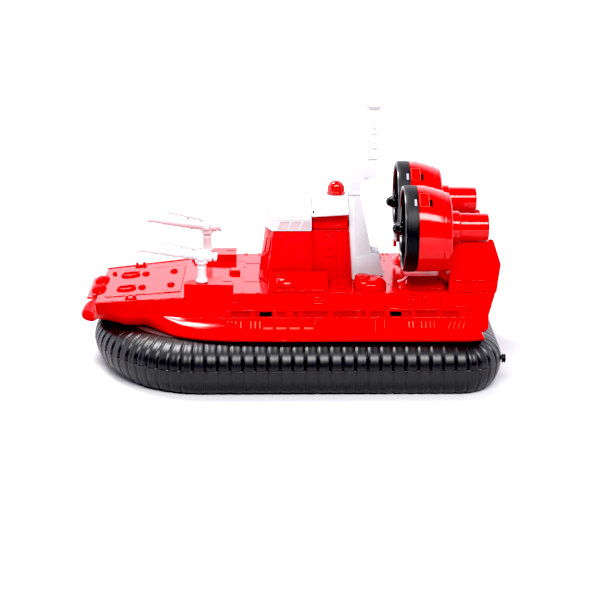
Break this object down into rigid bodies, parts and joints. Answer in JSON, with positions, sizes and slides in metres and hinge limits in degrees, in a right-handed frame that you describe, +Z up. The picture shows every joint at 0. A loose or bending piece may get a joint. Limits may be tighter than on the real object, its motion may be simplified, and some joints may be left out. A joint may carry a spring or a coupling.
{
  "type": "toy rescue hovercraft",
  "caption": "Toy rescue hovercraft with ribbed black skirt, red hull, swivelling water cannons, white bridge and mast, and ducted fans that spin.",
  "frame": {"origin": "on the floor under the middle of the craft's outline", "axes": "+X toward the stern, +Y toward the starboard side, +Z up; the bow points toward -X"},
  "size_m": [0.3888, 0.2116, 0.2405],
  "materials": {
    "red_plastic": "glossy moulded",
    "white_plastic": "glossy moulded",
    "skirt_plastic": "satin blow-moulded",
    "fan_plastic": "glossy moulded",
    "lamp_plastic": "glossy clear-coated"
  },
  "bodies": {
    "craft": {"aft_house": "red_plastic", "aft_roof": "white_plastic", "beacon": "lamp_plastic", "bow_plate": "red_plastic", "bridge": "white_plastic", "cabin": "red_plastic", "cannon_post_left": "white_plastic", "cannon_post_right": "white_plastic", "centre_block": "red_plastic", "cleat_left": "red_plastic", "cleat_right": "red_plastic", "drum_aft_left": "red_plastic", "drum_aft_right": "red_plastic", "drum_fore_left": "red_plastic", "drum_fore_right": "red_plastic", "fan_duct_left": "red_plastic", "fan_duct_right": "red_plastic", "fan_fairing_left": "red_plastic", "fan_fairing_right": "red_plastic", "fan_ring_left": "fan_plastic", "fan_ring_right": "fan_plastic", "foredeck_hatch": "red_plastic", "gun_platform_left": "red_plastic", "gun_platform_right": "red_plastic", "hull": "red_plastic", "mast": "white_plastic", "nacelle_left": "red_plastic", "nacelle_right": "red_plastic", "pylon_left": "red_plastic", "pylon_right": "red_plastic", "skirt": "skirt_plastic", "skirt_deck": "skirt_plastic", "stern_plug": "skirt_plastic", "tower": "white_plastic"},
    "left_cannon": {"cannon_head_left": "white_plastic"},
    "right_cannon": {"cannon_head_right": "white_plastic"},
    "left_fan": {"fan_left": "fan_plastic"},
    "right_fan": {"fan_right": "fan_plastic"}
  },
  "joints": [
    {"name": "cannon_left_yaw", "type": "hinge", "parent": "craft", "child": "left_cannon", "pos_m": [-0.07875, -0.0455, 0.105], "axis": [0, 0, 1], "range_deg": [-35, 95]},
    {"name": "cannon_right_yaw", "type": "hinge", "parent": "craft", "child": "right_cannon", "pos_m": [-0.07875, 0.0455, 0.105], "axis": [0, 0, 1], "range_deg": [-95, 35]},
    {"name": "fan_left_spin", "type": "hinge", "parent": "craft", "child": "left_fan", "pos_m": [0.11045, -0.0437, 0.1369], "axis": [1, 0, 0], "continuous": true},
    {"name": "fan_right_spin", "type": "hinge", "parent": "craft", "child": "right_fan", "pos_m": [0.11045, 0.0437, 0.1369], "axis": [1, 0, 0], "continuous": true}
  ]
}
